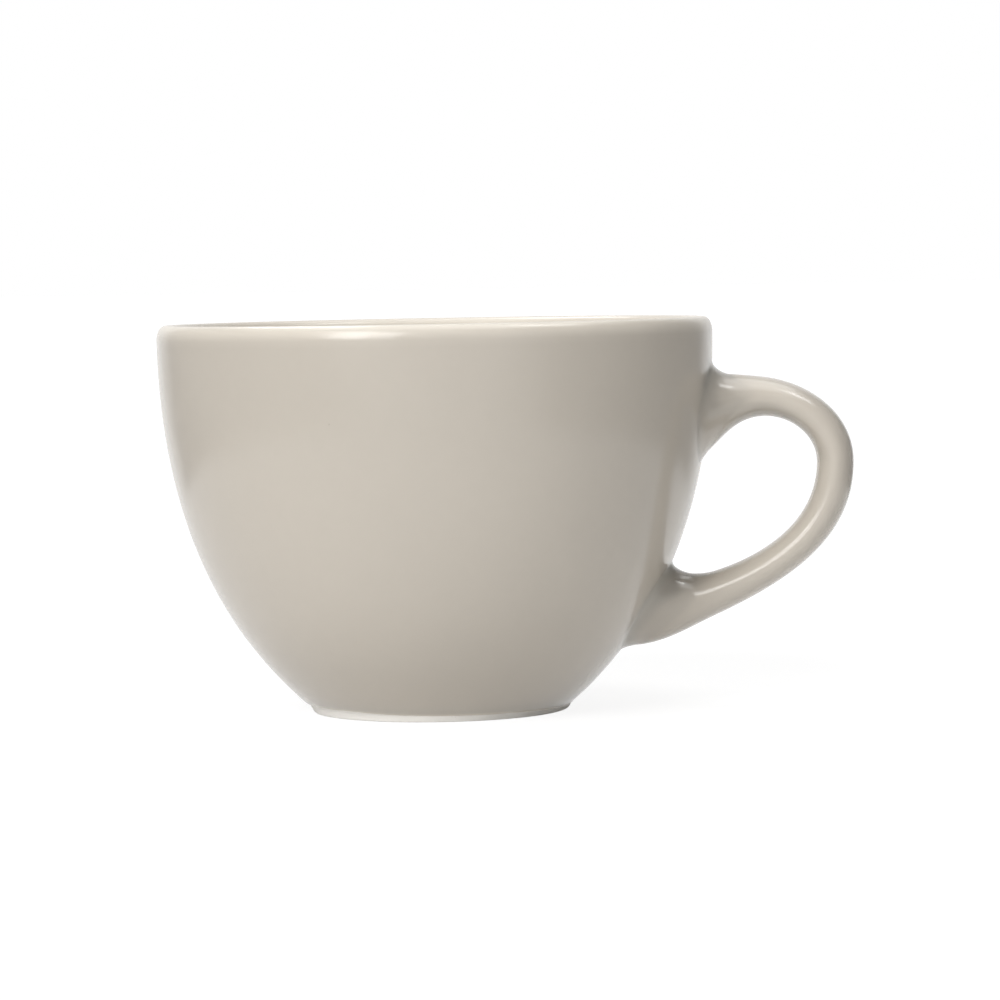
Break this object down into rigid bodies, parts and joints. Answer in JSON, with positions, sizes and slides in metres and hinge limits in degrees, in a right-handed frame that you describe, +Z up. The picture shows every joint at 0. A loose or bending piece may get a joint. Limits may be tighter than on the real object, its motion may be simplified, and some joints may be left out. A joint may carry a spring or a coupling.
{
  "type": "breakfast cup",
  "caption": "Low wide round breakfast cup in greige glazed stoneware, with a rounded lip, a small bare standing ring and an ear-shaped loop handle stuck to its wall.",
  "frame": {"origin": "on the standing plane, under the middle of the whole outline; the bowl's axis stands 13.1 mm to the -X side of it", "axes": "+Z up along the bowl's axis, +X from the bowl towards the handle, which lies in the XZ plane"},
  "size_m": [0.1312, 0.105, 0.0737],
  "materials": {
    "bowl_glaze": "satin gloss greige glaze, cream where it thins on the lip, bare cream clay on the standing ring",
    "handle_glaze": "satin gloss greige glaze",
    "slip": "fired slip under the same glaze"
  },
  "bodies": {
    "root": {"cup_bowl": "bowl_glaze", "handle": "handle_glaze", "upper_slip_joint": "slip", "lower_slip_joint": "slip"}
  },
  "joints": []
}
